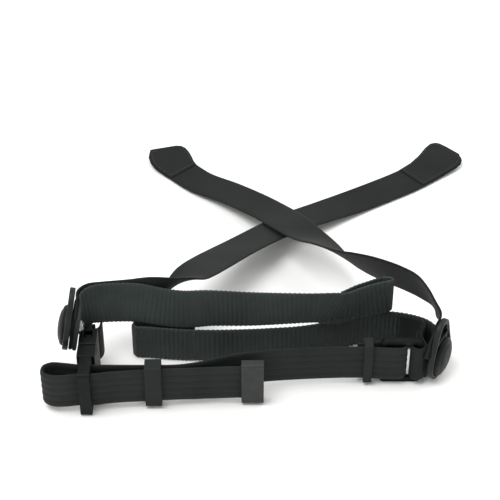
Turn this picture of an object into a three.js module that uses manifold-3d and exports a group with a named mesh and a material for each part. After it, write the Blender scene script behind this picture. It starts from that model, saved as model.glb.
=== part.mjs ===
// Webbing carrying harness for an avalanche transceiver: a split waist band, two riveted hubs,
// an elastic front strap with a side-release latch and a slide frame, and two crossed over-straps.
// Millimetres, +Z up. Pieces are placed on a bench: x to the wearer's side, y away, z up from the bench.
import * as THREE from 'three';
import * as BufferGeometryUtils from 'three/addons/utils/BufferGeometryUtils.js';
import Module from 'manifold-3d';

const wasm = await Module();
wasm.setup();

// Driving dimensions
const webWidth = 25;
const bandThickness = 2;
const elasticThickness = 2;
const overThickness = 1.5;
const tabThickness = 1.6;
const gap = 0.35;
const strapRoom = 0.6;
const benchCentre = [13.14, 143.62];

const latchHeight = 32;
const latchDepth = 10.4;
const latchX = -95;
const frontHeight = 16.3;
const windowHeight = 26;
const railHeight = frontHeight - windowHeight / 2;

const hubRadius = 14.4;
const hubTopRadius = 8.4;
const hubTopRise = 18.6;
const capRadius = 12;
const shankRadius = 2;
const boreRadius = 2.35;
const washerRadius = 4.4;

const rightRivet = new THREE.Vector3(112, 48, hubRadius);
const rightTurn = THREE.MathUtils.degToRad(28);
const leftRivet = new THREE.Vector3(-106, 48, 38);
const leftLean = THREE.MathUtils.degToRad(10);

const frameBarX = 99.5;
const frameY = 42;

const finishes = {
  bandWebbing: { color: 0x2b302f, roughness: 0.85, metalness: 0 },
  strapWebbing: { color: 0x262a29, roughness: 0.8, metalness: 0 },
  elastic: { color: 0x1f2321, roughness: 0.9, metalness: 0 },
  acetal: { color: 0x17191a, roughness: 0.4, metalness: 0 },
  nylon: { color: 0x1c1f1f, roughness: 0.55, metalness: 0 },
  rubber: { color: 0x202322, roughness: 0.75, metalness: 0 },
  steel: { color: 0x8d9093, roughness: 0.35, metalness: 1 },
};

const harness = new THREE.Group();
const up = new THREE.Vector3(0, 0, 1);

function addMesh(name, geometry, finish, parent = harness) {
  const mesh = new THREE.Mesh(geometry, new THREE.MeshStandardMaterial(finishes[finish]));
  mesh.name = name;
  parent.add(mesh);
  return mesh;
}

// Solids and their cuts

function toSolid(geometry) {
  const bare = geometry.clone();
  bare.deleteAttribute('normal');
  bare.deleteAttribute('uv');
  const merged = BufferGeometryUtils.mergeVertices(bare, 1e-4);
  return new wasm.Manifold(new wasm.Mesh({
    numProp: 3,
    vertProperties: Float32Array.from(merged.attributes.position.array),
    triVerts: Uint32Array.from(merged.index.array),
  }));
}

function toGeometry(solid) {
  const mesh = solid.getMesh();
  const geometry = new THREE.BufferGeometry();
  geometry.setAttribute('position', new THREE.BufferAttribute(mesh.vertProperties, 3));
  geometry.setIndex(new THREE.BufferAttribute(mesh.triVerts, 1));
  geometry.computeVertexNormals();
  return geometry;
}

function join(...geometries) {
  return toGeometry(geometries.map(toSolid).reduce((whole, piece) => whole.add(piece)));
}

function cut(geometry, ...tools) {
  return toGeometry(tools.map(toSolid).reduce((rest, tool) => rest.subtract(tool), toSolid(geometry)));
}

function boxBetween([x0, y0, z0], [x1, y1, z1]) {
  const box = new THREE.BoxGeometry(x1 - x0, y1 - y0, z1 - z0);
  return box.translate((x0 + x1) / 2, (y0 + y1) / 2, (z0 + z1) / 2);
}

// A cylinder about an axis through a point, long enough to pass a stack of plies.
function borer(centre, axis, radius = boreRadius, length = 24) {
  const turn = new THREE.Quaternion().setFromUnitVectors(new THREE.Vector3(0, 1, 0), axis);
  const bore = new THREE.CylinderGeometry(radius, radius, length, 20);
  return bore.applyQuaternion(turn).translate(centre.x, centre.y, centre.z);
}

function roundedRect(x0, y0, x1, y1, r) {
  const outline = new THREE.Shape();
  outline.absarc(x1 - r, y0 + r, r, -Math.PI / 2, 0);
  outline.absarc(x1 - r, y1 - r, r, 0, Math.PI / 2);
  outline.absarc(x0 + r, y1 - r, r, Math.PI / 2, Math.PI);
  outline.absarc(x0 + r, y0 + r, r, Math.PI, 1.5 * Math.PI);
  return outline;
}

function extrude(outline, depth, holes = []) {
  const shape = outline.clone();
  shape.holes = holes;
  return new THREE.ExtrudeGeometry(shape, { depth, bevelEnabled: false, curveSegments: 6 });
}

// An outline drawn across (y, z) and extruded along x from x0.
function extrudeAlongX(outline, x0, x1, holes) {
  const turn = new THREE.Matrix4().makeBasis(
    new THREE.Vector3(0, 1, 0), new THREE.Vector3(0, 0, 1), new THREE.Vector3(1, 0, 0));
  return extrude(outline, x1 - x0, holes).applyMatrix4(turn).translate(x0, 0, 0);
}

// An outline drawn across (x, z) and extruded along y from y0 to y1.
function extrudeAlongY(outline, y0, y1, holes) {
  const turn = new THREE.Matrix4().makeBasis(
    new THREE.Vector3(1, 0, 0), new THREE.Vector3(0, 0, 1), new THREE.Vector3(0, -1, 0));
  return extrude(outline, y1 - y0, holes).applyMatrix4(turn).translate(0, y1, 0);
}

// Webbing: a flat ribbon along a route of [x, y, z, roll] stations.
// Roll 90 stands the ribbon on its edge, roll 0 lays it flat.

const finestStep = 0.5;
const longestStep = 9;
const sharpestTurn = 0.2;

function routeFrames(route) {
  const path = new THREE.CatmullRomCurve3(route.map(([x, y, z]) => new THREE.Vector3(x, y, z)));
  const rolls = new THREE.CatmullRomCurve3(route.map((station) => new THREE.Vector3(station[3], 0, 0)));
  const count = Math.ceil(path.getLength() / finestStep);
  path.arcLengthDivisions = count * 2;
  path.updateArcLengths();
  const frames = [];
  for (let i = 0; i <= count; i += 1) {
    const t = path.getUtoTmapping(i / count);
    const along = path.getTangent(t);
    const side = new THREE.Vector3().crossVectors(along, up).normalize();
    const over = new THREE.Vector3().crossVectors(side, along);
    const roll = THREE.MathUtils.degToRad(rolls.getPoint(t).x);
    const across = side.clone().multiplyScalar(Math.cos(roll)).addScaledVector(over, Math.sin(roll));
    frames.push({ centre: path.getPoint(t), along, across });
  }
  return frames;
}

function thinned(frames) {
  const kept = [frames[0]];
  const step = frames[0].centre.distanceTo(frames[1].centre);
  let run = 0;
  for (let i = 1; i < frames.length - 1; i += 1) {
    const last = kept[kept.length - 1];
    run += step;
    const bend = last.along.angleTo(frames[i].along) + last.across.angleTo(frames[i].across);
    if (run >= longestStep || bend >= sharpestTurn) {
      kept.push(frames[i]);
      run = 0;
    }
  }
  kept.push(frames[frames.length - 1]);
  return kept;
}

function ribbon(route, thickness, width = webWidth) {
  const frames = thinned(routeFrames(route));
  const corners = [[1, 1], [-1, 1], [-1, -1], [1, -1]];
  const points = [];
  const faces = [];
  for (const { centre, along, across } of frames) {
    const through = new THREE.Vector3().crossVectors(along, across);
    for (const [a, b] of corners) {
      points.push(centre.clone()
        .addScaledVector(across, a * width / 2)
        .addScaledVector(through, b * thickness / 2));
    }
  }
  for (let i = 0; i < frames.length - 1; i += 1) {
    for (let k = 0; k < 4; k += 1) {
      const here = 4 * i + k;
      const beside = 4 * i + (k + 1) % 4;
      faces.push(here, beside, here + 4, beside, beside + 4, here + 4);
    }
  }
  const last = points.length - 4;
  faces.push(0, 2, 1, 0, 3, 2, last, last + 1, last + 2, last, last + 2, last + 3);
  const geometry = new THREE.BufferGeometry().setFromPoints(points);
  geometry.setIndex(faces);
  geometry.computeVertexNormals();
  return geometry;
}

// Stations on a level half circle, from one compass angle to another (degrees).
function hairpin([x, y], radius, z, from, to, roll = 90) {
  return [0, 0.25, 0.5, 0.75, 1].map((share) => {
    const angle = THREE.MathUtils.degToRad(from + (to - from) * share);
    return [x + radius * Math.cos(angle), y + radius * Math.sin(angle), z, roll];
  });
}

// Hubs: an oval plate with a raised rim and a window, a domed cap, a rivet and a washer.
// In a hub's own frame +Z points away from the wearer and +Y up the plate.

const plateInner = -1.3;
const plateOuter = 2.1;
const recessFloor = 0.9;
const capSeat = recessFloor + gap;
const capDome = 5;

const rightHub = new THREE.Group();
const leftHub = new THREE.Group();

function placeHub(group, rivet, outward, upward) {
  const sideways = new THREE.Vector3().crossVectors(upward, outward);
  group.quaternion.setFromRotationMatrix(new THREE.Matrix4().makeBasis(sideways, upward, outward));
  group.position.copy(rivet);
  group.updateMatrix();
  harness.add(group);
}

const rightOut = new THREE.Vector3(Math.cos(rightTurn), -Math.sin(rightTurn), 0);
const leftOut = new THREE.Vector3(-Math.cos(leftLean), 0, Math.sin(leftLean));
const leftUp = new THREE.Vector3(Math.sin(leftLean), 0, Math.cos(leftLean));
placeHub(rightHub, rightRivet, rightOut, up);
placeHub(leftHub, leftRivet, leftOut, leftUp);

function ovalOutline(inset) {
  const slope = Math.asin((hubRadius - hubTopRadius) / hubTopRise);
  const outline = new THREE.Shape();
  outline.absarc(0, 0, hubRadius - inset, Math.PI - slope, 2 * Math.PI + slope);
  outline.absarc(0, hubTopRise, hubTopRadius - inset, slope, Math.PI - slope);
  return outline;
}

function windowOutline() {
  const sill = 14.2;
  const outline = new THREE.Shape();
  outline.moveTo(-7.2, sill);
  outline.lineTo(7.2, sill);
  outline.lineTo(5.4, hubTopRise);
  outline.absarc(0, hubTopRise, 5.4, 0, Math.PI);
  return outline;
}

function hubPlate() {
  const rim = 2.1;
  const body = extrude(ovalOutline(0), plateOuter - plateInner).translate(0, 0, plateInner);
  const recess = extrude(ovalOutline(rim), 4).translate(0, 0, recessFloor);
  const opening = extrude(windowOutline(), 8).translate(0, 0, -4);
  return cut(body, recess, opening, borer(new THREE.Vector3(), up));
}

function lathed(profile) {
  const points = profile.map(([r, z]) => new THREE.Vector2(r, z));
  return new THREE.LatheGeometry(points, 32).rotateX(Math.PI / 2);
}

function hubCap() {
  const blindTop = capSeat + 2;
  const profile = [[0, blindTop], [boreRadius, blindTop], [boreRadius, capSeat], [capRadius - 0.5, capSeat]];
  const edge = capSeat + 1.2;
  for (let i = 0; i <= 7; i += 1) {
    const angle = (i / 7) * Math.PI / 2;
    profile.push([capRadius * Math.cos(angle), edge + (capDome - 1.2) * Math.sin(angle)]);
  }
  profile[profile.length - 1][0] = 0;
  return lathed(profile);
}

// The rivet and washer hold plies out to the given depth inside the plate.
function hubRivet(depth) {
  const inner = -(depth + gap + 1.2 + gap);
  return lathed([
    [0, inner - 1.1], [2.6, inner - 1.1], [3.3, inner - 0.4], [3.3, inner],
    [shankRadius, inner], [shankRadius, capSeat + 1.6], [0, capSeat + 1.6],
  ]);
}

function hubWasher(depth) {
  const inner = -(depth + gap + 1.2);
  return lathed([
    [boreRadius, inner], [washerRadius, inner], [washerRadius, inner + 1.2],
    [boreRadius, inner + 1.2], [boreRadius, inner],
  ]);
}

const overPly = -plateInner + strapRoom + overThickness / 2;
const bandPly = overPly + overThickness / 2 + strapRoom + bandThickness / 2;
const stackDepth = bandPly + bandThickness / 2;

for (const [side, group] of [['left', leftHub], ['right', rightHub]]) {
  addMesh(`hub_${side}_plate`, hubPlate(), 'nylon', group);
  addMesh(`hub_${side}_cap`, hubCap(), 'acetal', group);
  addMesh(`hub_${side}_rivet`, hubRivet(stackDepth), 'steel', group);
  addMesh(`hub_${side}_washer`, hubWasher(stackDepth), 'steel', group);
}

// A point on a ply inside a hub: how far along the plate, how far up it and how deep.
function hubPoint(rivet, outward, upward, along, rise, depth) {
  const ahead = new THREE.Vector3().crossVectors(upward, outward);
  return rivet.clone().addScaledVector(ahead, along).addScaledVector(upward, rise)
    .addScaledVector(outward, -depth);
}

function station(point, roll) {
  return [point.x, point.y, point.z, roll];
}

// Waist band: the upper band leaves the left hub and the lower band leaves the right hub.
// Each ends in a fold that sandwiches the other, so a long slit stays open between them.

const lowerZ = webWidth / 2;

function upperBand() {
  // A station given by the band's lower edge and how far its top leans away, in degrees.
  const fromEdge = (x, y, z, lean) => {
    const tilt = THREE.MathUtils.degToRad(lean);
    const half = webWidth / 2;
    return [x, y + half * Math.sin(tilt), z + half * Math.cos(tilt), 90 + lean];
  };
  const leftRoll = 90 - THREE.MathUtils.radToDeg(leftLean);
  const onLeftHub = (along) => station(hubPoint(leftRivet, leftOut, leftUp, along, 0, bandPly), leftRoll);
  const route = [
    onLeftHub(7.5), onLeftHub(0), onLeftHub(-10),
    [-98.8, 63, 37.4, 94], [-94.2, 66.9, 37.3, 104],
    fromEdge(-88, 64.6, 25.4, 20), fromEdge(-68, 64.6, 25.8, 20),
    fromEdge(-50, 62.6, 23.9, 17), fromEdge(-38, 61.6, 23.9, 14),
    fromEdge(-25, 60.8, 25.9, 10), fromEdge(0, 60, 26.5, 4),
    fromEdge(29, 60.6, 27.3, -4), fromEdge(43, 62.4, 26.2, -6),
    fromEdge(55, 66.8, 23.6, -5), fromEdge(66, 70.8, 23.6, -2), fromEdge(76, 72.8, 24.9, 0),
    ...hairpin([85.5, 75.4], 1.6, 25.9 + webWidth / 2, -90, 90),
    fromEdge(76, 77.6, 23.6, 0), fromEdge(66, 75.9, 21.2, 0), fromEdge(57, 72.9, 18.8, 0),
  ];
  return cut(ribbon(route, bandThickness), borer(leftRivet, leftOut));
}

function lowerBand() {
  const onRightHub = (along) => station(
    hubPoint(rightRivet, rightOut, up, along, lowerZ - hubRadius, bandPly), 90);
  const flat = (x, y) => [x, y, lowerZ, 90];
  const route = [
    onRightHub(-7), onRightHub(0), onRightHub(7.5),
    flat(110.6, 62.5), flat(106.8, 67.6), flat(99.8, 71.6), flat(91.5, 74.2), flat(84.5, 75.3),
    flat(76, 75.1), flat(66, 73.2), flat(55, 69.3), flat(43, 65), flat(29, 61.9),
    flat(11, 60.2), flat(0, 59.4), flat(-25, 58.6), flat(-38, 59.2), flat(-50, 60.2),
    flat(-60, 61.4),
    ...hairpin([-68.5, 64.7], 2.5, lowerZ, -98, -262),
    flat(-60, 66.4), flat(-50, 65.2), flat(-41, 64.3), flat(-33, 63.9),
  ];
  return cut(ribbon(route, bandThickness), borer(rightRivet, rightOut));
}

addMesh('band_upper', upperBand(), 'bandWebbing');
addMesh('band_lower', lowerBand(), 'bandWebbing');

// Over-straps: they leave the hubs on edge, twist flat, and cross on the bench behind the band.

const overWidth = webWidth;
const rootWidth = 21;
const leftSplit = [-30.5, 102, 39.6];
const splitGap = 1.6;
const tabLap = 0.4;

const leftAir = [
  [-55.7, 72.3, 40.8, 110],
  [-47.2, 78.2, 44.4, 66],
  [-37.4, 91.6, 43.6, 16],
];
const leftFar = [
  [-21.7, 116.3, 33, 0],
  [0, 150.1, 18.5, 0],
  [26.5, 179.6, 8.5, 0],
  [50.6, 197.7, 4.6, 0],
  [73.8, 214, 1.6, 0],
  [104.3, 235.6, 1.2, 0],
  [112.8, 243, 1.2, 0],
];

function leftBase() {
  const leftRoll = 90 - THREE.MathUtils.radToDeg(leftLean);
  const onHub = (along, rise) => station(
    hubPoint(leftRivet, leftOut, leftUp, along, rise, overPly), leftRoll);
  const route = [
    onHub(7, 0), onHub(0, 0), onHub(-11.5, 0),
    [-101, 65.2, 37.4, 95], [-95.7, 69.7, 37, 106],
    [-88, 71.3, 36.6, 110], [-69, 71.6, 38.4, 111],
    ...leftAir, [...leftSplit, 6],
  ];
  return cut(ribbon(route, overThickness, overWidth), borer(leftRivet, leftOut));
}

// The free part of an over-strap starts a short gap past the end of its root.
function freeStrap(split, roll, route) {
  const start = new THREE.Vector3(...split);
  const next = new THREE.Vector3(...route[0].slice(0, 3));
  start.addScaledVector(next.sub(start).normalize(), splitGap);
  return ribbon([station(start, roll), ...route], overThickness, overWidth);
}

const rightAir = [
  [109.2, 71.2, 45.4, 94],
  [101.5, 79.6, 46, 97],
  [91.4, 87.6, 44.4, 101],
];
const rightSplit = [81, 97.2, 40.6];
const rightFar = [
  [66.8, 111.2, 35.4, 126],
  [59.3, 119.3, 32.4, 142],
  [47.7, 137.9, 27.4, 170],
  [37.4, 153.4, 22, 180],
  [26.3, 171.2, 17.6, 180],
  [8.1, 198.1, 10, 180],
  [-13.7, 220.8, 5, 180],
  [-34.8, 238.1, 1.7, 180],
  [-46.6, 250.5, 1.2, 180],
];

function rightRoot() {
  const pitch = THREE.MathUtils.degToRad(50);
  const climb = (distance, away = 0) => {
    const along = distance * Math.cos(pitch) - 9;
    const rise = distance * Math.sin(pitch) + 0.5;
    return station(hubPoint(rightRivet, rightOut, up, along, rise, overPly + away), 90);
  };
  const route = [
    climb(0), climb(9), climb(18), climb(26, 0.5), climb(33, 1.6), ...rightAir, [...rightSplit, 108]];
  // The root is trimmed straight down its front, inside the plate's outline.
  const trim = boxBetween([-40, -30, -9], [-10.5, 40, 0]).applyMatrix4(rightHub.matrix);
  return cut(ribbon(route, overThickness, rootWidth), borer(rightRivet, rightOut), trim);
}

// A stiff end tab: a flat plate that widens on one side and ends in a slanted point.
function endTab(end, heading, mirrored, shoulder, point) {
  const flip = mirrored ? -1 : 1;
  const half = overWidth / 2;
  const outline = new THREE.Shape();
  outline.moveTo(tabLap, -half * flip);
  outline.lineTo(shoulder, -(half + 1.2) * flip);
  outline.lineTo(point, -4.6 * flip);
  outline.lineTo(point - 11, (half + 4) * flip);
  outline.lineTo(tabLap, half * flip);
  const plate = extrude(outline, 2.4);
  return plate.rotateZ(THREE.MathUtils.degToRad(heading)).translate(end[0], end[1], 0);
}

addMesh('over_left_root', leftBase(), 'strapWebbing');
addMesh('over_right_root', rightRoot(), 'strapWebbing');
addMesh('over_left', freeStrap(leftSplit, 5, leftFar), 'strapWebbing');
addMesh('over_right', freeStrap(rightSplit, 109, rightFar), 'strapWebbing');
addMesh('end_tab_left', endTab(leftFar[leftFar.length - 1], 40, false, 31, 41), 'strapWebbing');
addMesh('end_tab_right', endTab(rightFar[rightFar.length - 1], 134, true, 16, 30), 'strapWebbing');

// Front strap: one length of ribbed elastic, doubled through the latch and round the slide frame.

const tailY = 23.4;

function frontStrap() {
  const flat = (x, y) => [x, y, frontHeight, 90];
  const route = [
    flat(5.5, tailY), flat(-12, 22.9), flat(-30, 22), flat(-56, 20.6), flat(-80, 18.6),
    flat(-90, 17), flat(-99, 16.8), flat(-108, 15.6), flat(-114.8, 16),
    flat(-119.4, 19.2), flat(-119.4, 23.6), flat(-114.8, 26.4), flat(-108, 26),
    flat(-99, 24.6), flat(-90, 24.4), flat(-80, 24.3), flat(-56, 24.2), flat(-42, 24.6),
    flat(-30, 26.8), flat(-17, 31), flat(-6, 34), flat(11, 36.8), flat(41, 39.2),
    flat(60, 39.9), flat(70, 39.6), flat(79, 38.9),
    ...hairpin([87.3, frameY], 3.1, frontHeight, -90, 90),
    flat(79, 45.1), flat(74, 44.2), flat(69, 43.1), flat(63, 42.9),
  ];
  return ribbon(route, elasticThickness);
}

addMesh('front_strap', frontStrap(), 'elastic');

// A flat keeper: a band of wall round an opening that the strap passes through along x.
function keeper([x0, x1], [y0, y1], wall, overlap) {
  const z0 = railHeight - 0.2;
  const z1 = railHeight + windowHeight + 0.2;
  const outline = roundedRect(y0 - wall, z0 - overlap, y1 + wall, z1 + overlap, 1.2);
  return extrudeAlongX(outline, x0, x1, [roundedRect(y0, z0, y1, z1, 0.4)]);
}

addMesh('keeper_middle', keeper([-60.8, -51.2], [18.7, 26.4], 1.3, 1.4), 'elastic');
addMesh('keeper_tail', keeper([-5, 8], [21.9, 24.9], 1.5, 1.8), 'rubber');
addMesh('keeper_end', keeper([67, 72], [38.1, 45.1], 1.1, 1.2), 'elastic');

// Slide frame: three upright bars between two rails.
function slideFrame() {
  const left = 77;
  const right = 101;
  const top = railHeight + windowHeight + railHeight;
  const outline = roundedRect(left, 0, right, top, 2.5);
  const openings = [[80, 84.8], [88, 98]].map(([x0, x1]) => roundedRect(
    x0, railHeight, x1, railHeight + windowHeight, 0.6));
  return extrudeAlongY(outline, frameY - 1.5, frameY + 1.5, openings);
}

addMesh('slide_frame', slideFrame(), 'acetal');

// The slide frame hangs in a loop of webbing that is sewn along the lower band's inner side.
function slideTab() {
  const flat = (x, y) => [x, y, frontHeight, 90];
  const loopRadius = 3.3;
  const route = [
    flat(90.6, 71.6), flat(98.3, 69.3), flat(102.9, 65.4), flat(103.6, 60.2),
    flat(101.9, 54), flat(101.2, 49),
    ...hairpin([frameBarX, frameY], loopRadius, frontHeight, 12, -192),
    flat(97.9, 46.6), flat(98.7, 50.2), flat(99.3, 53.8),
  ];
  return ribbon(route, tabThickness);
}

addMesh('slide_tab', slideTab(), 'strapWebbing');

// Side-release latch: a plug with two spring arms in a socket, its length along y.

const plugFrontY = 11.6;
const plugBackY = 38.2;
const socketY = 38.7;
const socketEndY = 58.1;
const cavityEndY = 51.9;
const socketWall = 1.3;
const armGap = 1.4;
const armHalf = latchDepth / 2 - socketWall - armGap;

function latchPlug() {
  const ladderHalf = 3.4;
  const ladder = extrudeAlongX(
    roundedRect(plugFrontY, 0, 30, latchHeight, 2), latchX - ladderHalf, latchX + ladderHalf,
    [[14.8, 18.9], [22.1, 26.8]].map(([y0, y1]) => roundedRect(
      y0, railHeight, y1, railHeight + windowHeight, 0.5)));
  const block = extrudeAlongX(
    roundedRect(28.2, 0, plugBackY, latchHeight, 1), latchX - latchDepth / 2, latchX + latchDepth / 2);
  const tongue = boxBetween(
    [latchX - armHalf, plugBackY - 1, 12], [latchX + armHalf, 50, latchHeight - 12]);
  return join(ladder, block, tongue);
}

// One arm from its root: a leaf that rises to a pressing pad and tapers to its tip.
function latchArm(upward) {
  const root = plugBackY + 0.3;
  const z = (height) => (upward ? latchHeight - height : height);
  const outline = new THREE.Shape();
  outline.moveTo(root, z(6.6));
  outline.lineTo(root, z(3));
  outline.lineTo(root + 5, z(2.6));
  outline.lineTo(root + 7, z(1.9));
  outline.lineTo(root + 10.4, z(1.9));
  outline.lineTo(root + 12.8, z(4.4));
  outline.lineTo(root + 11.8, z(6));
  return extrudeAlongX(outline, latchX - armHalf, latchX + armHalf);
}

function latchSocket() {
  const x0 = latchX - latchDepth / 2;
  const x1 = latchX + latchDepth / 2;
  const shell = extrudeAlongX(roundedRect(socketY, 0, 53.2, latchHeight, 1.6), x0, x1);
  const neck = extrudeAlongX(
    roundedRect(52, 0.6, socketEndY, latchHeight - 0.6, 1.4), latchX - 1.5, latchX + 1.5);
  const cavity = boxBetween(
    [x0 + socketWall, socketY - 1, socketWall], [x1 - socketWall, cavityEndY, latchHeight - socketWall]);
  const padWindows = [[-1, socketWall + 1], [latchHeight - socketWall - 1, latchHeight + 1]].map(
    ([z0, z1]) => boxBetween([latchX - armHalf, 44, z0], [latchX + armHalf, 50.5, z1]));
  const strapSlot = boxBetween(
    [x0 - 1, 53.2, railHeight], [x1 + 1, 56.1, railHeight + windowHeight]);
  return cut(join(shell, neck), cavity, ...padWindows, strapSlot);
}

function latchTab() {
  const route = [
    [-92, 59.3, frontHeight, 90],
    ...hairpin([-96.3, 57.1], 2.2, frontHeight, 90, 270),
    [-93, 54.9, frontHeight, 90], [-90.2, 56.2, frontHeight, 90],
    [-88.9, 58.8, frontHeight, 90], [-88.6, 62, frontHeight, 90],
  ];
  return ribbon(route, tabThickness);
}

addMesh('latch_plug', latchPlug(), 'acetal');
addMesh('latch_arm_upper', latchArm(true), 'acetal');
addMesh('latch_arm_lower', latchArm(false), 'acetal');
addMesh('latch_socket', latchSocket(), 'acetal');
addMesh('latch_tab', latchTab(), 'strapWebbing');

harness.position.set(-benchCentre[0], -benchCentre[1], 0);

export default harness;
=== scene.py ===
import math

import bpy
import numpy as np
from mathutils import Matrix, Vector


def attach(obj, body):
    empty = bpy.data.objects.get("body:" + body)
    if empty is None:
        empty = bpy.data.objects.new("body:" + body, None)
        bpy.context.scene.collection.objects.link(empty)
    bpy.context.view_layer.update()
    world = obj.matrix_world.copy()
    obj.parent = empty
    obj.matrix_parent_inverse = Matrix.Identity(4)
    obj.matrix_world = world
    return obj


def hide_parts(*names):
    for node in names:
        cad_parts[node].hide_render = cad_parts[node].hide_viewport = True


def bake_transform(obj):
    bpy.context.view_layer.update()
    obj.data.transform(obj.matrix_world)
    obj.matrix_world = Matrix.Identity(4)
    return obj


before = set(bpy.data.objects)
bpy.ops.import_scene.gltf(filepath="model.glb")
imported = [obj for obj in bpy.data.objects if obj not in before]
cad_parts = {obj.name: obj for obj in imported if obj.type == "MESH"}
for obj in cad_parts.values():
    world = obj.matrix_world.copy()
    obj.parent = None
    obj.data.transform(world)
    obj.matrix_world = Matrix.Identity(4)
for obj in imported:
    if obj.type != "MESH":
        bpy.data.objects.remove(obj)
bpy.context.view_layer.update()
print("stage: frame loaded")

# The bench and small helpers
# Pieces are laid out on a bench in millimetres, as in the part, and moved to the frame in metres.

bench = {
    "centre": (13.14, 143.62, 0.0),
    "metresPerMm": 0.001,
}


def toFrame(points):
    return (np.asarray(points, float) - np.array(bench["centre"])) * bench["metresPerMm"]


def deselectAll():
    bpy.ops.object.select_all(action="DESELECT")


def makeActive(piece):
    deselectAll()
    piece.select_set(True)
    bpy.context.view_layer.objects.active = piece


def editAll(piece, *steps):
    makeActive(piece)
    bpy.ops.object.mode_set(mode="EDIT")
    bpy.ops.mesh.select_all(action="SELECT")
    for step in steps:
        step()
    bpy.ops.object.mode_set(mode="OBJECT")


def applyModifier(piece, kind, **settings):
    makeActive(piece)
    modifier = piece.modifiers.new(kind.title(), kind)
    for key, value in settings.items():
        setattr(modifier, key, value)
    bpy.ops.object.modifier_apply(modifier=modifier.name)


def smoothByAngle(piece, degrees=40):
    makeActive(piece)
    bpy.ops.object.shade_smooth_by_angle(angle=math.radians(degrees))


def unit(vectors):
    vectors = np.asarray(vectors, float)
    return vectors / np.linalg.norm(vectors, axis=-1, keepdims=True)


# A grid primitive whose points are moved on to a shape: rows run along it, columns round it.
def gridSkin(name, points, uv=None, closedEnds=True, angle=40):
    rows, columns = points.shape[:2]
    deselectAll()
    bpy.ops.mesh.primitive_grid_add(x_subdivisions=columns - 1, y_subdivisions=rows - 1, size=1)
    piece = bpy.context.active_object
    piece.name = name
    piece.data.vertices.foreach_set("co", toFrame(points).reshape(-1).astype(np.float32))
    if uv is not None:
        corners = np.zeros(len(piece.data.loops), np.int32)
        piece.data.loops.foreach_get("vertex_index", corners)
        flat = (uv.reshape(-1, 2) * bench["metresPerMm"])[corners]
        piece.data.uv_layers[0].data.foreach_set("uv", flat.reshape(-1).astype(np.float32))
    steps = [lambda: bpy.ops.mesh.remove_doubles(threshold=2e-6)]
    if closedEnds:
        steps.append(lambda: bpy.ops.mesh.select_all(action="DESELECT"))
        steps.append(lambda: bpy.ops.mesh.select_non_manifold())
        steps.append(lambda: bpy.ops.mesh.fill_holes(sides=0))
        steps.append(lambda: bpy.ops.mesh.select_all(action="SELECT"))
    steps.append(lambda: bpy.ops.mesh.normals_make_consistent(inside=False))
    editAll(piece, *steps)
    smoothByAngle(piece, angle)
    return piece


# A fine copy of a CAD node: merged, its flat faces cleaned, and its edges rounded.
def roundedCopy(node, name, width, segments=3, angle=35):
    piece = bpy.data.objects.new(name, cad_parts[node].data.copy())
    bpy.context.scene.collection.objects.link(piece)
    piece.data.materials.clear()
    editAll(
        piece,
        lambda: bpy.ops.mesh.remove_doubles(threshold=2e-6),
        lambda: bpy.ops.mesh.dissolve_limited(angle_limit=math.radians(0.5)),
        lambda: bpy.ops.mesh.normals_make_consistent(inside=False),
    )
    applyModifier(
        piece, "BEVEL", width=width * bench["metresPerMm"], segments=segments,
        limit_method="ANGLE", angle_limit=math.radians(angle), harden_normals=False,
    )
    smoothByAngle(piece, 50)
    return piece


# Materials

def linear(hexColour):
    channels = [int(hexColour[i:i + 2], 16) / 255 for i in (1, 3, 5)]
    return [c / 12.92 if c <= 0.04045 else ((c + 0.055) / 1.055) ** 2.4 for c in channels] + [1.0]


def addNode(tree, kind, settings=None, inputs=None):
    node = tree.nodes.new(kind)
    for key, value in (settings or {}).items():
        setattr(node, key, value)
    for key, value in (inputs or {}).items():
        if isinstance(value, bpy.types.NodeSocket):
            tree.links.new(value, node.inputs[key])
        else:
            node.inputs[key].default_value = value
    return node


def newMaterial(name, shaderInputs):
    material = bpy.data.materials.new(name)
    material.use_nodes = True
    tree = material.node_tree
    shader = tree.nodes["Principled BSDF"]
    for key, value in shaderInputs.items():
        shader.inputs[key].default_value = value
    return material, tree, shader


def maths(tree, operation, first, second=0.0):
    return addNode(tree, "ShaderNodeMath", {"operation": operation}, {0: first, 1: second}).outputs[0]


def wear(tree, coordinates, scale, low, high):
    noise = addNode(tree, "ShaderNodeTexNoise", None, {"Vector": coordinates, "Scale": scale, "Detail": 4.0})
    return addNode(
        tree, "ShaderNodeMapRange", None,
        {"Value": noise.outputs["Fac"], "From Min": 0.3, "From Max": 0.7, "To Min": low, "To Max": high},
    ).outputs[0]


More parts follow.
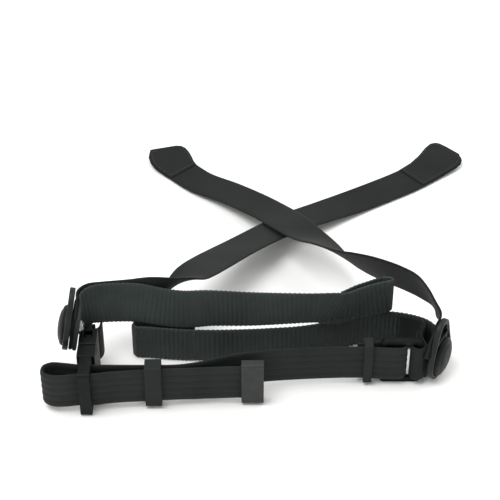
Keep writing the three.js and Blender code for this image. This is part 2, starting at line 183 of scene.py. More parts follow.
# Woven webbing. UV x runs along the webbing and y across it, both in metres.
def webbingMaterial(name, look):
    material, tree, shader = newMaterial(name, {
        "Roughness": look["roughness"],
        "Specular IOR Level": look["specular"],
        "IOR": 1.5,
        "Sheen Weight": look["sheen"],
        "Sheen Roughness": 0.45,
    })
    uv = addNode(tree, "ShaderNodeUVMap").outputs[0]
    split = addNode(tree, "ShaderNodeSeparateXYZ", None, {0: uv})
    perMetre = 1000 * 2 * math.pi
    warp = maths(tree, "MULTIPLY", split.outputs[1], perMetre / look["warpMm"])
    weft = maths(tree, "MULTIPLY", split.outputs[0], perMetre / look["weftMm"])
    twill = maths(tree, "SINE", maths(tree, "ADD", warp, weft))
    rise = maths(tree, "ADD", maths(tree, "MULTIPLY", maths(tree, "SINE", warp), 0.6), twill)
    height = maths(tree, "MULTIPLY", rise, 0.3)
    coordinates = addNode(tree, "ShaderNodeTexCoord").outputs["Object"]
    fuzz = addNode(tree, "ShaderNodeTexNoise", None, {"Vector": coordinates, "Scale": 1400.0, "Detail": 3.0})
    both = maths(tree, "ADD", height, maths(tree, "MULTIPLY", fuzz.outputs["Fac"], 0.6))
    bump = addNode(tree, "ShaderNodeBump", None, {
        "Height": both, "Distance": look["bumpMm"] * 0.001, "Strength": 0.9})
    tree.links.new(bump.outputs[0], shader.inputs["Normal"])
    # Painted shade: the colour is darker in the weave's low valleys and lighter on its ridges, following the
    # bump height, plus a random tone from noise.
    valleyShadeAndTone = maths(tree, "ADD", maths(tree, "MULTIPLY", rise, 0.16), wear(tree, coordinates, 42.0, 0.32, 0.68))
    colour = addNode(tree, "ShaderNodeMix", {"data_type": "RGBA"}, {
        "Factor": valleyShadeAndTone, 6: linear(look["shadedValley"]), 7: linear(look["litRidge"])})
    tree.links.new(colour.outputs[2], shader.inputs["Base Color"])
    return material


# In each look below, the valley and ridge colours paint shade into the weave: valleys darker, ridges lighter.
# Heavy polyester webbing, woven with ribs across it: charcoal with a faint green, dull, threads just visible.
ribbedPolyester = webbingMaterial("wovenRibbedPolyester", {
    "shadedValley": "#1a1f1e", "litRidge": "#3c4442", "roughness": 0.7, "sheen": 0.04, "specular": 0.2,
    "warpMm": 0.9, "weftMm": 1.4, "bumpMm": 0.2,
})
# Lighter polyester webbing, woven flat and smooth: a slight silky sheen.
smoothPolyester = webbingMaterial("wovenSmoothPolyester", {
    "shadedValley": "#0d100f", "litRidge": "#1e2220", "roughness": 0.66, "sheen": 0.03, "specular": 0.16,
    "warpMm": 0.8, "weftMm": 1.1, "bumpMm": 0.12,
})
# Covered rubber elastic, knitted: the darkest cloth, matt, with fine crosswise crimps.
knittedElastic = webbingMaterial("knittedElastic", {
    "shadedValley": "#0f1312", "litRidge": "#262b29", "roughness": 0.75, "sheen": 0.03, "specular": 0.2,
    "warpMm": 0.8, "weftMm": 0.9, "bumpMm": 0.16,
})


# Moulded plastic and metal: a fine pebble on Object coordinates and worn patches in the gloss.
def mouldedMaterial(name, look):
    material, tree, shader = newMaterial(name, {
        "IOR": look.get("ior", 1.5),
        "Specular IOR Level": look.get("specular", 0.5),
        "Metallic": look.get("metallic", 0.0),
    })
    coordinates = addNode(tree, "ShaderNodeTexCoord").outputs["Object"]
    grain = addNode(tree, "ShaderNodeTexNoise", None, {
        "Vector": coordinates, "Scale": 1000 / look["grainMm"], "Detail": 2.0})
    bump = addNode(tree, "ShaderNodeBump", None, {
        "Height": grain.outputs["Fac"], "Distance": look["bumpMm"] * 0.001, "Strength": 0.7})
    tree.links.new(bump.outputs[0], shader.inputs["Normal"])
    rough = wear(tree, coordinates, 160.0, look["roughness"] - 0.07, look["roughness"] + 0.08)
    tree.links.new(rough, shader.inputs["Roughness"])
    colour = addNode(tree, "ShaderNodeMix", {"data_type": "RGBA"}, {
        "Factor": wear(tree, coordinates, 90.0, 0.0, 1.0), 6: linear(look["dark"]), 7: linear(look["light"])})
    tree.links.new(colour.outputs[2], shader.inputs["Base Color"])
    return material


# Acetal, injection moulded with a spark-eroded texture: black, waxy, soft highlights.
mouldedAcetal = mouldedMaterial("mouldedAcetal", {
    "dark": "#0a0c0c", "light": "#131616", "roughness": 0.5, "specular": 0.14, "grainMm": 0.5, "bumpMm": 0.05,
    "ior": 1.48})
# Glass-filled nylon: greyer, duller, its rims polished by handling.
glassNylon = mouldedMaterial("glassFilledNylon", {
    "dark": "#101413", "light": "#1a1f1f", "roughness": 0.5, "specular": 0.22, "grainMm": 0.7, "bumpMm": 0.07,
    "ior": 1.53})
# Moulded soft rubber: matt with an even tone.
softRubber = mouldedMaterial("mouldedRubber", {
    "dark": "#111413", "light": "#1c201f", "roughness": 0.62, "grainMm": 0.6, "bumpMm": 0.06, "ior": 1.52})
# Nickel-plated steel, tumbled: bright with fine pits.
platedSteel = mouldedMaterial("nickelPlatedSteel", {
    "dark": "#8a8c8e", "light": "#a9abad", "roughness": 0.3, "grainMm": 0.4, "bumpMm": 0.02, "metallic": 1.0})
# Bonded polyester thread: a shade lighter than the cloth that it holds, with a slight shine.
bondedThread = mouldedMaterial("bondedThread", {
    "dark": "#1c201f", "light": "#2e3432", "roughness": 0.5, "grainMm": 0.3, "bumpMm": 0.05})


def finish(piece, material, slotName, body, *nodes):
    piece.data.materials.clear()
    piece.data.materials.append(material)
    if body:
        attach(piece, body)
    if nodes:
        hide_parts(*nodes)
    return piece


print("stage: materials made")

# Camera, light and floor

camera = {
    "target": (0.0, 165.0, 0.0),
    "elevation": 39.0,
    "distance": 1.0,
    "lens": 109.08,
}


def addCamera():
    target = Vector(toFrame(camera["target"]))
    tilt = math.radians(camera["elevation"])
    back = Vector((0, -math.cos(tilt), math.sin(tilt)))
    bpy.ops.object.camera_add(location=target + back * camera["distance"])
    lens = bpy.context.active_object
    lens.data.lens = camera["lens"]
    lens.rotation_mode = "QUATERNION"
    lens.rotation_quaternion = (-back).to_track_quat("-Z", "Y")
    bpy.context.scene.camera = lens


def addLight(name, place, size, watts):
    bpy.ops.object.light_add(type="AREA", location=place)
    light = bpy.context.active_object
    light.name = name
    light.data.size = size
    light.data.energy = watts
    light.rotation_mode = "QUATERNION"
    light.rotation_quaternion = (-Vector(place)).to_track_quat("-Z", "Y")


def addFloor():
    bpy.ops.mesh.primitive_plane_add(size=12, location=(0, 0, -0.0004))
    floor = bpy.context.active_object
    floor.name = "floor"
    paper = newMaterial("whitePaper", {"Roughness": 0.9, "Base Color": linear("#f7f7f5")})[0]
    floor.data.materials.append(paper)


addCamera()
addLight("keyLight", (-0.5, -0.3, 1.5), 0.9, 17)
addLight("fillLight", (0.9, 0.6, 1.2), 1.2, 9)
addFloor()
world = bpy.data.worlds.new("paleRoom")
world.use_nodes = True
world.node_tree.nodes["Background"].inputs[0].default_value = linear("#ffffff")
world.node_tree.nodes["Background"].inputs[1].default_value = 0.78
bpy.context.scene.world = world
bpy.context.scene.view_settings.view_transform = "Standard"
print("stage: camera, light and floor placed")

# Webbing
# A route is a list of stations (x, y, z, roll): roll 90 stands the webbing on edge, roll 0 lays it flat.


def samplePath(stations, perSpan=40):
    points = np.array([s[:3] for s in stations], float)
    rolls = np.array([s[3] for s in stations], float)
    knots = np.sqrt(np.linalg.norm(np.diff(points, axis=0), axis=1))
    first = points[0] * 2 - points[1]
    last = points[-1] * 2 - points[-2]
    padded = np.vstack([first, points, last])
    gaps = np.concatenate([[knots[0]], knots, [knots[-1]]])
    paddedRolls = np.concatenate([rolls[:1], rolls, rolls[-1:]])
    out = []
    turns = []
    for i in range(len(points) - 1):
        p0, p1, p2, p3 = padded[i:i + 4]
        d0, d1, d2 = gaps[i:i + 3]
        m1 = ((p1 - p0) / d0 - (p2 - p0) / (d0 + d1) + (p2 - p1) / d1) * d1
        m2 = ((p2 - p1) / d1 - (p3 - p1) / (d1 + d2) + (p3 - p2) / d2) * d1
        for k in range(perSpan):
            t = k / perSpan
            out.append(
                p1 + m1 * t + (3 * (p2 - p1) - 2 * m1 - m2) * t * t + (2 * (p1 - p2) + m1 + m2) * t ** 3)
            r0, r1, r2, r3 = paddedRolls[i:i + 4]
            bend = (2 * r0 - 5 * r1 + 4 * r2 - r3) * t * t + (3 * r1 - r0 - 3 * r2 + r3) * t ** 3
            turns.append(r1 + ((r2 - r0) * t + bend) / 2)
    out.append(points[-1])
    turns.append(rolls[-1])
    return np.array(out), np.array(turns)


# The webbing's centre line at even steps, with its along, across and through directions.
def layRoute(stations, step):
    points, turns = samplePath(stations)
    lengths = np.concatenate([[0], np.cumsum(np.linalg.norm(np.diff(points, axis=0), axis=1))])
    count = max(2, int(round(lengths[-1] / step)) + 1)
    marks = np.linspace(0, lengths[-1], count)
    centre = np.stack([np.interp(marks, lengths, points[:, k]) for k in range(3)], axis=1)
    roll = np.radians(np.interp(marks, lengths, turns))[:, None]
    along = unit(np.gradient(centre, marks, axis=0))
    side = unit(np.cross(along, (0, 0, 1)))
    over = np.cross(side, along)
    across = side * np.cos(roll) + over * np.sin(roll)
    through = np.cross(along, across)
    return {"centre": centre, "along": along, "across": across, "through": through, "at": marks}


def spot(route, at, across, depth):
    picked = [
        np.array([np.interp(at, route["at"], route[key][:, k]) for k in range(3)])
        for key in ("centre", "across", "through")
    ]
    return picked[0] + picked[1] * across + picked[2] * depth


edgeMarks = (-1, -0.985, -0.95)


# One length of webbing. relief(at, share) gives how far each face stands out, share running from -1 to 1.
# outline(at) gives the lower and upper edge where the webbing isn't of one width.
def webbing(name, stations, spec, relief, outline=None):
    route = layRoute(stations, spec["step"])
    middle = np.linspace(-0.9, 0.9, spec["threads"])
    shares = np.concatenate([edgeMarks, middle, -np.array(edgeMarks)[::-1]])
    crown = spec["thickness"] / 2 * np.sqrt(1 - np.abs(shares) ** 16)
    at = route["at"][:, None]
    raised = crown[None, :] + relief(at, shares[None, :])
    raised[:, 0] = raised[:, -1] = 0
    low, high = outline(route["at"]) if outline else (-spec["width"] / 2, spec["width"] / 2)
    low = np.ones_like(at) * np.reshape(low, (-1, 1))
    high = np.ones_like(at) * np.reshape(high, (-1, 1))
    share = np.concatenate([shares, shares[-2::-1]])[None, :]
    across = (low + high) / 2 + (high - low) / 2 * share
    depth = np.concatenate([raised, -raised[:, -2::-1]], axis=1)
    lift = depth + spec.get("offset", 0)
    points = (
        route["centre"][:, None, :]
        + route["across"][:, None, :] * across[..., None]
        + route["through"][:, None, :] * lift[..., None]
    )
    uv = np.stack([np.broadcast_to(at, depth.shape), across], axis=2)
    piece = gridSkin(name, points, uv, angle=60)
    return piece, route


# Where webbing is riveted its end is folded back, so it is thicker over the first stretch.
def foldedBack(at, spec):
    return spec["foldExtra"] * np.clip((spec["foldLength"] - at) / 3, 0, 1)


# Relief fades out towards the edges of the webbing.
def edgeFade(share):
    return np.clip((1 - np.abs(share)) / 0.06, 0, 1)


# A low raised strip runs just inside each edge.
def selvedge(share, begin, ramp):
    return np.clip((np.abs(share) - begin) / ramp, 0, 1) * np.clip((0.97 - np.abs(share)) / 0.03, 0, 1)


# The ribs wander a little in pitch and depth, as hard-beaten weft does.
def ribWave(at):
    wander = 0.5 * np.sin(at / 7.3) + 0.35 * np.sin(at / 3.1 + 1.2)
    return np.cos(2 * math.pi * at / bandSpec["ribPitch"] + wander) * (0.8 + 0.2 * np.sin(at / 5.7 + 0.4))


def heavyRibs(at, share):
    raised = bandSpec["ribDepth"] * ribWave(at) + foldedBack(at, bandSpec)
    return raised * edgeFade(share) - 0.02


def scallopedEdge(at):
    half = bandSpec["width"] / 2 + bandSpec["scallop"] * (ribWave(at) - 1)
    return -half, half


def smoothFace(at, share):
    return 0.07 * selvedge(share, 0.84, 0.03) + foldedBack(at, overSpec) * edgeFade(share)


def plainFace(at, share):
    return 0.06 * selvedge(share, 0.8, 0.05) + 0 * at


def elasticRibs(at, share):
    cords = np.abs(np.sin(math.pi * elasticSpec["ribs"] * (share + 1) / 2))
    lengthwise = elasticSpec["cordRise"] * np.sqrt(cords) - elasticSpec["cordSink"]
    crimp = elasticSpec["crimp"] * np.cos(2 * math.pi * at / elasticSpec["crimpPitch"])
    return (lengthwise + crimp) * edgeFade(share)


# Webbing on edge, turned back round a half circle.
def hairpin(centre, radius, z, start, end):
    stations = []
    for share in (0, 0.25, 0.5, 0.75, 1):
        angle = math.radians(start + (end - start) * share)
        stations.append((centre[0] + radius * math.cos(angle), centre[1] + radius * math.sin(angle), z, 90))
    return stations


# Stitches: one short rounded thread, repeated along a line of places on a strap.
stitch = {"length": 2.3, "gap": 0.7, "thick": 0.55, "sides": 6, "rings": 5}


def stitchShape():
    rings = []
    for i in range(stitch["rings"]):
        lengthwise = math.cos(math.pi * i / (stitch["rings"] - 1))
        fat = math.sqrt(max(0.0, 1 - lengthwise ** 2))
        for k in range(stitch["sides"]):
            angle = 2 * math.pi * k / stitch["sides"]
            rings.append((lengthwise * 0.5, math.cos(angle) * fat * 0.5, math.sin(angle) * fat * 0.5))
    faces = []
    for i in range(stitch["rings"] - 1):
        for k in range(stitch["sides"]):
            a = i * stitch["sides"] + k
            b = i * stitch["sides"] + (k + 1) % stitch["sides"]
            faces.append((a, b, b + stitch["sides"], a + stitch["sides"]))
    return np.array(rings), faces


def sewSeams(name, seams, thick=None):
    shape, faces = stitchShape()
    thick = thick or stitch["thick"]
    points = []
    quads = []
    for route, places in seams:
        ends = [spot(route, *place) for place in places]
        normals = [spot(route, place[0], place[1], place[2] + 1) - end for place, end in zip(places, ends)]
        for (a, b, normal) in zip(ends[:-1], ends[1:], normals[:-1]):
            run = np.linalg.norm(b - a)
            count = max(1, int(round(run / (stitch["length"] + stitch["gap"]))))
            along = (b - a) / run
            side = np.cross(normal, along)
            size = run / count - stitch["gap"]
            for i in range(count):
                middle = a + along * (i + 0.5) * run / count
                base = len(points) * len(shape)
                points.append(
                    middle + shape[:, :1] * along * size + shape[:, 1:2] * side * thick
                    + shape[:, 2:3] * normal * thick)
                quads.extend([tuple(v + base for v in face) for face in faces])
    mesh = bpy.data.meshes.new(name)
    mesh.from_pydata(toFrame(np.concatenate(points)).tolist(), [], quads)
    piece = bpy.data.objects.new(name, mesh)
    bpy.context.scene.collection.objects.link(piece)
    editAll(
        piece,
        lambda: bpy.ops.mesh.remove_doubles(threshold=1e-7),
        lambda: bpy.ops.mesh.normals_make_consistent(inside=False),
    )
    smoothByAngle(piece, 80)
    return piece


# Hubs

plateInner = 1.3    # how far the plate's back stands behind the middle of the hub
plyGap = 0.6
strapThick = 1.5
bandThick = 2.0
hub = {
    "radius": 14.4, "topRadius": 8.4, "topRise": 18.6, "rim": 2.1,
    "inner": -plateInner, "outer": 2.1, "recess": 0.9, "lowerShare": 0.62, "points": 96,
    "capRadius": 12.0, "capSeat": 1.25, "capTop": 5.0,
    "overPly": plateInner + plyGap + strapThick / 2,
    "bandPly": plateInner + plyGap + strapThick + plyGap + bandThick / 2,
}
lean = math.radians(10)
turn = math.radians(28)
hubSides = {
    "left": {
        "rivet": np.array((-106.0, 48.0, 38.0)),
        "outward": np.array((-math.cos(lean), 0, math.sin(lean))),
        "upward": np.array((math.sin(lean), 0, math.cos(lean))),
        "plateBody": "left_plate",
    },
    "right": {
        "rivet": np.array((112.0, 48.0, 14.4)),
        "outward": np.array((math.cos(turn), -math.sin(turn), 0)),
        "upward": np.array((0.0, 0.0, 1.0)),
        "plateBody": "right_plate",
    },
}


def hubPlace(side, along, rise, out):
    place = hubSides[side]
    ahead = np.cross(place["upward"], place["outward"])
    return place["rivet"] + ahead * along + place["upward"] * rise + place["outward"] * out


# The plate's outline, drawn in by an inset, as points at even angles round its middle.
def ovalRing(inset):
    slope = math.asin((hub["radius"] - hub["topRadius"]) / hub["topRise"])
    count = hub["points"]
    lower = int(count * hub["lowerShare"])
    ring = []
    for i in range(lower):
        angle = math.pi - slope + (math.pi + 2 * slope) * i / (lower - 1)
        ring.append(((hub["radius"] - inset) * math.cos(angle), (hub["radius"] - inset) * math.sin(angle)))
    upper = count - lower
    for i in range(upper):
        angle = slope + (math.pi - 2 * slope) * i / (upper - 1)
        reach = hub["topRadius"] - inset
        ring.append((reach * math.cos(angle), hub["topRise"] + reach * math.sin(angle)))
    return ring


# The window in the plate: a sill, two leaning sides and a round head, point for point with the outline.
def windowRing(grow):
    sill, halfSill, head = 14.2, 7.2, 5.4
    count = hub["points"]
    lower = int(count * hub["lowerShare"])
    corner = int(lower * 0.2)
    ring = []
    for i in range(lower):
        if i < corner:
            share = i / corner
            x = -(head + (halfSill - head) * share) - grow
            y = hub["topRise"] + (sill - hub["topRise"]) * share - grow * share
        elif i >= lower - corner:
            share = (lower - 1 - i) / corner
            x = head + (halfSill - head) * share + grow
            y = hub["topRise"] + (sill - hub["topRise"]) * share - grow * share
        else:
            share = (i - corner) / (lower - 2 * corner - 1)
            x = (halfSill + grow) * (2 * share - 1)
            y = sill - grow
        ring.append((x, y))
    upper = count - lower
    for i in range(upper):
        angle = math.pi * i / (upper - 1)
        ring.append(((head + grow) * math.cos(angle), hub["topRise"] + (head + grow) * math.sin(angle)))
    return ring


def hubPlate(side):
    rounding = 0.6
    profile = [
        (windowRing(0), hub["inner"]), (windowRing(0), hub["recess"] + 0.5),
        (windowRing(0.35), hub["recess"] + 0.9), (windowRing(0.9), hub["recess"] + 0.9),
        (windowRing(1.2), hub["recess"] + 0.5), (windowRing(1.3), hub["recess"]),
        (ovalRing(hub["rim"] + 0.3), hub["recess"]), (ovalRing(hub["rim"]), hub["recess"] + 0.3),
        (ovalRing(hub["rim"]), hub["outer"] - rounding), (ovalRing(hub["rim"] - 0.25), hub["outer"] - 0.15),
        (ovalRing(hub["rim"] - rounding), hub["outer"]), (ovalRing(rounding), hub["outer"]),
        (ovalRing(0.2), hub["outer"] - 0.2), (ovalRing(0), hub["outer"] - rounding),
        (ovalRing(0), hub["inner"] + rounding), (ovalRing(0.2), hub["inner"] + 0.15),
        (ovalRing(rounding), hub["inner"]), (windowRing(0), hub["inner"]),
    ]
    points = np.array([
        [hubPlace(side, x, y, out) for x, y in ring + ring[:1]] for ring, out in profile])
    return gridSkin("hubPlate_" + side, points, closedEnds=False, angle=35)


# A domed cap with a shallow ring groove near its edge and a turned-down lip.
def hubCap(side):
    radius, seat, top = hub["capRadius"], hub["capSeat"], hub["capTop"]
    profile = [(0.01, seat), (radius - 0.6, seat), (radius - 0.1, seat + 0.15), (radius, seat + 0.5),
               (radius, seat + 0.9)]
    for i in range(1, 13):
        angle = i / 12 * math.pi / 2
        reach = radius * math.cos(angle)
        rise = seat + 1.1 + (top - 1.1) * math.sin(angle)
        groove = 0.3 * math.exp(-((reach - radius * 0.8) / 0.5) ** 2)
        profile.append((max(reach, 0.01), rise - groove))
    points = np.array([
        [hubPlace(side, r * math.cos(a), r * math.sin(a), out) for a in np.linspace(0, 2 * math.pi, 73)]
        for r, out in profile])
    return gridSkin("hubCap_" + side, points, angle=50)


for side in hubSides:
    finish(hubPlate(side), glassNylon, "hub_nylon", hubSides[side]["plateBody"], "hub_" + side + "_plate")
    finish(hubCap(side), mouldedAcetal, "cap_acetal", "band", "hub_" + side + "_cap")
    for small in ("rivet", "washer"):
        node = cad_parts["hub_" + side + "_" + small]
        node.data.materials.clear()
        node.data.materials.append(platedSteel)
print("stage: hubs made")

# Waist band

bandSpec = {
    "width": 25, "thickness": 1.9, "step": 0.4, "threads": 9,
    "ribPitch": 2.7, "ribDepth": 0.34, "scallop": 0.16, "foldLength": 17, "foldExtra": 0.15,
}
lowerZ = 12.5


def edgeStation(x, y, z, leanDegrees):
    tilt = math.radians(leanDegrees)
    half = bandSpec["width"] / 2
    return (x, y + half * math.sin(tilt), z + half * math.cos(tilt), 90 + leanDegrees)


def onHub(side, along, rise, ply, roll):
    return (*hubPlace(side, along, rise, -hub[ply]), roll)


upperRoute = [
    onHub("left", 7.5, 0, "bandPly", 80), onHub("left", 0, 0, "bandPly", 80),
    onHub("left", -10, 0, "bandPly", 80),
    (-98.8, 63, 37.4, 94), (-94.2, 66.9, 37.5, 104),
    edgeStation(-88, 64.6, 25.4, 20), edgeStation(-68, 64.6, 25.8, 20),
    edgeStation(-50, 62.6, 23.9, 17), edgeStation(-38, 61.6, 23.9, 14),
    edgeStation(-25, 60.8, 26, 10), edgeStation(0, 60, 27, 4),
    edgeStation(29, 60.6, 28.5, -4), edgeStation(43, 62.4, 27.7, -6),
    edgeStation(55, 66.8, 23.6, -5), edgeStation(66, 70.8, 23.6, -2), edgeStation(76, 72.8, 24.9, 0),
    *hairpin((83, 75.4), 1.6, 25.9 + bandSpec["width"] / 2, -90, 90),
    edgeStation(76, 77.6, 23.6, 0), edgeStation(66, 75.9, 21.2, 0), edgeStation(57, 72.9, 18.8, 0),
]
lowerRoute = [
    onHub("right", -7, lowerZ - 14.4, "bandPly", 90), onHub("right", 0, lowerZ - 14.4, "bandPly", 90),
    onHub("right", 7.5, lowerZ - 14.4, "bandPly", 90),
    *[(x, y, lowerZ, 90) for x, y in (
        (110.6, 62.5), (106.8, 67.6), (99.8, 71.6), (91.5, 74.2), (84.5, 75.3), (76, 75.1), (66, 73.2),
        (55, 69.3), (43, 65), (29, 61.9), (11, 60.2), (0, 59.4), (-25, 58.6), (-38, 59.2), (-50, 60.2),
        (-60, 61.4))],
    *hairpin((-67.4, 64.5), 2.5, lowerZ, -98, -262),
    (-60, 66.4, lowerZ, 90), (-50, 65.2, lowerZ, 90), (-41, 64.3, lowerZ, 90), (-33, 63.9, lowerZ, 90),
]
upperBand, upperLaid = webbing("upperBand", upperRoute, bandSpec, heavyRibs, scallopedEdge)
lowerBand, lowerLaid = webbing("lowerBand", lowerRoute, bandSpec, heavyRibs, scallopedEdge)
finish(upperBand, ribbedPolyester, "band_webbing", "band", "band_upper")
finish(lowerBand, ribbedPolyester, "band_webbing", "band", "band_lower")


# Where along a route it comes nearest a bench place.
def nearest(route, x, y, begin=0.0, end=1.0):
    share = route["at"] / route["at"][-1]
    away = np.hypot(route["centre"][:, 0] - x, route["centre"][:, 1] - y)
    away = np.where((share >= begin) & (share <= end), away, 1e9)
    return route["at"][int(np.argmin(away))]


nearFace = 0.98
leftFold = nearest(lowerLaid, -69, 62.2, 0.5, 0.9)
leftEnd = nearest(lowerLaid, -36, 59, 0.3, 0.8)
rightFold = nearest(upperLaid, 83, 73, 0.5, 0.9)
rightEnd = nearest(upperLaid, 46, 63.5, 0.4, 0.8)
bandSeams = [
    (lowerLaid, [(leftEnd, 11.2, -nearFace), (leftFold - 1.5, 11.2, -nearFace)]),
    (lowerLaid, [(leftFold - 3, 10.4, -nearFace), (leftFold - 3, -10.4, -nearFace)]),
    (lowerLaid, [(leftEnd + 1, 9.5, -nearFace), (leftEnd + 1, -10.4, -nearFace)]),
    (upperLaid, [(rightEnd, -11.2, nearFace), (rightFold - 1.5, -11.2, nearFace)]),
    (upperLaid, [(rightFold - 3, 10.4, nearFace), (rightFold - 3, -10.4, nearFace)]),
    (upperLaid, [(rightEnd + 1, 10.4, nearFace), (rightEnd + 1, -9.5, nearFace)]),
]
finish(sewSeams("bandStitching", bandSeams), bondedThread, "band_webbing", "band")


# A bar tack is a tight zigzag that stops the slit from tearing.
def barTack(route, at, low, high, face, width=2.4, rows=9):
    return (route, [
        (at + (width / 2 if i % 2 else -width / 2), low + (high - low) * i / rows, face)
        for i in range(rows + 1)])


tacks = [
    barTack(lowerLaid, leftEnd - 3, 8.6, 12.3, -nearFace),
    barTack(upperLaid, rightEnd - 3, -12.3, -8.6, nearFace),
]
finish(sewSeams("bandBarTacks", tacks, 0.5), bondedThread, "band_webbing", "band")
print("stage: waist band sewn")

# Over-straps

overSpec = {
    "width": 25, "thickness": strapThick, "step": 1.2, "threads": 15, "foldLength": 19, "foldExtra": 0.4}
leftSplit = (-30.5, 102, 36.4)
rightSplit = (81, 97, 38.8)
leftFarRoute = [
    (-21.7, 116.3, 31.2, 4), (0, 149.6, 19.2, 8), (26.5, 181, 10, 6), (50.6, 200.4, 5, 3),
    (73.8, 217, 1.8, 0), (104.3, 236.8, 1.2, 0), (112.8, 243, 1.2, 0),
]
rightFarRoute = [
    (66.8, 111.2, 33.6, 120), (59.3, 119.3, 30.8, 131), (47.6, 137.6, 26.6, 153), (37.3, 153.2, 21.8, 170),
    (26.3, 171.2, 17.6, 180), (8.1, 198.1, 10, 180), (-13.7, 220.8, 5, 180), (-34.8, 238.1, 1.7, 180),
    (-46.6, 250.5, 1.2, 180),
]
leftRoute = [
    onHub("left", 7, 0, "overPly", 80), onHub("left", 0, 0, "overPly", 80),
    onHub("left", -11.5, 0, "overPly", 80),
    (-101, 65.2, 37.4, 95), (-95.7, 69.7, 37, 106), (-88, 71.3, 36.6, 110), (-69, 71.6, 38.4, 111),
    (-57, 72.3, 40.5, 105), (-47.6, 78.6, 41, 60), (-38, 91.4, 38.8, 17), (-30.5, 102, 36.2, 5),
    *leftFarRoute,
]


def climb(distance):
    pitch = math.radians(50)
    along = distance * math.cos(pitch) - 9
    rise = distance * math.sin(pitch) + 0.5
    return (*hubPlace("right", along, rise, -hub["overPly"]), 90)


rightRoute = [
    climb(2), climb(9), climb(17), (112.2, 56.6, 34.8, 101), (110.2, 62, 39.2, 109), (107.2, 68.4, 42, 111),
    (101.2, 77.2, 42.8, 104), (92.4, 86.4, 41.6, 104), (*rightSplit, 108), *rightFarRoute,
]


# Each far end flares to one side and is folded under into a stiff, stitched tab.
# Outlines are (distance past the strap's end, distance out from its middle line).
endTabs = {
    "left": {
        "heading": 40, "lift": 3.0, "face": -1,
        "flare": [(0, 12.5), (12, 13.2), (22, 15.2), (32, 18.4), (37, 19), (40.5, 17), (42, 13.5),
                  (42.6, -5)],
        "straight": [(0, 12.5), (30, 13.2), (36.5, 12.6), (41, 9.5), (42.3, 5.2), (42.6, 5)],
    },
    "right": {
        "heading": 134, "lift": 3.5, "face": 1,
        "flare": [(0, 12.5), (5, 14), (10, 16.6), (15, 18.6), (19, 19.4), (22.5, 18.5), (25, 15.5),
                  (31.4, -0.5), (31.8, -3.5)],
        "straight": [(0, 12.5), (16, 12.8), (22, 11.5), (28, 8.5), (31, 5), (31.8, 3.5)],
    },
}


def tabStations(side, last):
    tab = endTabs[side]
    angle = math.radians(tab["heading"])
    reach = tab["straight"][-1][0]
    return [
        (last[0] + math.cos(angle) * reach * share, last[1] + math.sin(angle) * reach * share,
         last[2] + tab["lift"] * share ** 2, last[3])
        for share in (0.25, 0.5, 0.75, 1.0)]


# The strap keeps its own half width up to the tab, whose outline it then takes, drawn in by an inset.
def strapOutline(side, begin, halfWidths, inset=0.0):
    tab = endTabs[side]
    flare = np.array(tab["flare"])
    straight = np.array(tab["straight"])

    def outline(at):
        past = at - begin
        low = -np.interp(past, flare[:, 0], flare[:, 1])
        high = np.interp(past, straight[:, 0], straight[:, 1])
        half = np.interp(at, *zip(*halfWidths))
        middle = (low + high) / 2
        low = np.where(past < 0, -half, np.minimum(low + inset, middle))
        high = np.where(past < 0, half, np.maximum(high - inset, middle))
        return low, high
    return outline


overStraps = (
    ("left", leftRoute, ("over_left_root", "over_left"), ("band", "left_strap"), leftSplit, leftFarRoute,
     [(0, 12.5), (400, 12.5)]),
    ("right", rightRoute, ("over_right_root", "over_right"), ("right_plate", "right_strap"), rightSplit,
     rightFarRoute, [(0, 10.5), (40, 10.5), (90, 12.3), (400, 12.5)]),
)
for side, route, nodes, bodies, split, farRoute, halfWidths in overStraps:
    begin = layRoute(route, overSpec["step"])["at"][-1]
    whole = route + tabStations(side, route[-1])
    strap = webbing(
        side + "OverStrap", whole, overSpec, smoothFace, strapOutline(side, begin, halfWidths))[0]
    finish(strap, smoothPolyester, "strap_webbing", None, *nodes)
    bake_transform(strap)

    face = endTabs[side]["face"]
    tabRoute = [route[-1]] + tabStations(side, route[-1])
    patch, patchLaid = webbing(
        side + "EndTab", tabRoute, {**overSpec, "thickness": 0.8, "offset": face, "step": 0.6},
        plainFace, strapOutline(side, 0.0, halfWidths, 0.7))
    finish(patch, smoothPolyester, "strap_webbing", bodies[1], "end_tab_" + side)
    stops = np.linspace(2, endTabs[side]["straight"][-1][0] - 2.6, 7)
    lowEdge, highEdge = strapOutline(side, 0.0, halfWidths, 2.4)(stops)
    around = list(zip(stops, lowEdge)) + list(zip(stops[::-1], highEdge[::-1]))
    seam = [(along, across, 1.42 * face) for along, across in around + around[:1]]
    finish(sewSeams(side + "TabStitching", [(patchLaid, seam)]), bondedThread, "strap_webbing", bodies[1])
print("stage: over-straps laid")

# Front strap and keepers

elasticSpec = {
    "width": 25, "thickness": 2.0, "step": 1.4, "threads": 41, "ribs": 5,
    "cordRise": 0.55, "cordSink": 0.52, "crimp": 0.03, "crimpPitch": 1.9,
}
frontZ = 16.3
frontRoute = [
    *[(x, y, frontZ, 90) for x, y in (
        (5.5, 23.4), (-12, 22.9), (-30, 22), (-56, 20.6), (-80, 18.6), (-90, 17), (-99, 16.8), (-108, 15.6),
        (-114.8, 16), (-119.4, 19.2), (-119.4, 23.6), (-114.8, 26.4), (-108, 26), (-99, 24.6), (-90, 24.4),
        (-80, 24.3), (-56, 24.2), (-42, 24.6), (-30, 26.8), (-17, 31), (-6, 34), (11, 36.8), (41, 39.2),
        (60, 39.9), (70, 39.6), (79, 38.9))],
    *hairpin((88.6, 42), 3.2, frontZ, -90, 90),
    *[(x, y, frontZ, 90) for x, y in ((79, 45.1), (74, 44.2), (69, 43.1), (63, 42.9))],
]
frontStrap = webbing("frontStrap", frontRoute, elasticSpec, elasticRibs)[0]
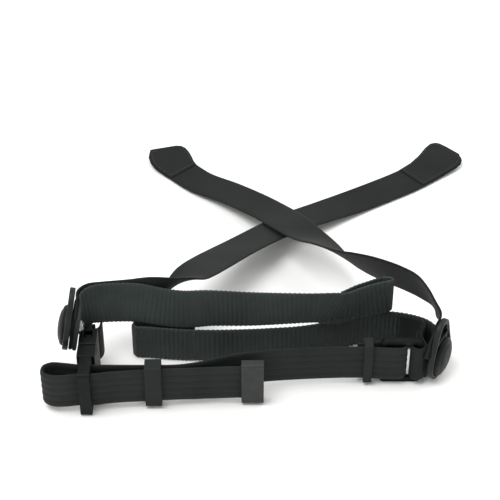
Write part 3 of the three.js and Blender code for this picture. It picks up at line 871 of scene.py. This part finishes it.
finish(frontStrap, knittedElastic, "elastic_webbing", "front", "front_strap")

for node, name, width, material, slotName, body in (
    ("keeper_middle", "middleKeeper", 0.5, knittedElastic, "elastic_webbing", "keeper"),
    ("keeper_tail", "tailKeeper", 0.7, softRubber, "keeper_rubber", "front"),
    ("keeper_end", "endKeeper", 0.4, knittedElastic, "elastic_webbing", "front"),
    ("slide_frame", "slideFrame", 0.8, mouldedAcetal, "latch_acetal", "front"),
    ("latch_plug", "latchPlug", 0.8, mouldedAcetal, "latch_acetal", "front"),
    ("latch_arm_upper", "upperArm", 0.6, mouldedAcetal, "latch_acetal", "arm_upper"),
    ("latch_arm_lower", "lowerArm", 0.6, mouldedAcetal, "latch_acetal", "arm_lower"),
    ("latch_socket", "latchSocket", 0.7, mouldedAcetal, "latch_acetal", "band"),
):
    finish(roundedCopy(node, name, width), material, slotName, body, node)
print("stage: front strap, keepers and latch made")

# Webbing tabs

tabSpec = {"width": 25, "thickness": strapThick, "step": 0.9, "threads": 13}
slideTabRoute = [
    *[(x, y, z, 90) for x, y, z in (
        (90.6, 71.6, 12.9), (98.3, 69.3, 12.9), (102.9, 65.4, 13.4), (103.6, 60.2, 14.6),
        (101.9, 54, 15.8), (101.2, 49, frontZ))],
    *hairpin((98.9, 42), 4.1, frontZ, 12, -192),
    *[(x, y, frontZ, 90) for x, y in ((97.9, 46.6), (98.7, 50.2), (99.3, 53.8))],
]
latchTabRoute = [
    (-92, 59.3, frontZ, 90),
    *hairpin((-96.3, 57.1), 2.2, frontZ, 90, 270),
    (-93, 54.9, frontZ, 90), (-90.2, 56.2, frontZ, 90), (-88.9, 58.8, frontZ, 90), (-88.6, 62, frontZ, 90),
]
slideTab = webbing("slideTab", slideTabRoute, tabSpec, smoothFace)[0]
latchTab = webbing("latchTab", latchTabRoute, tabSpec, smoothFace)[0]
finish(slideTab, smoothPolyester, "strap_webbing", "band", "slide_tab")
finish(latchTab, smoothPolyester, "strap_webbing", "band", "latch_tab")
print("stage: tabs made")
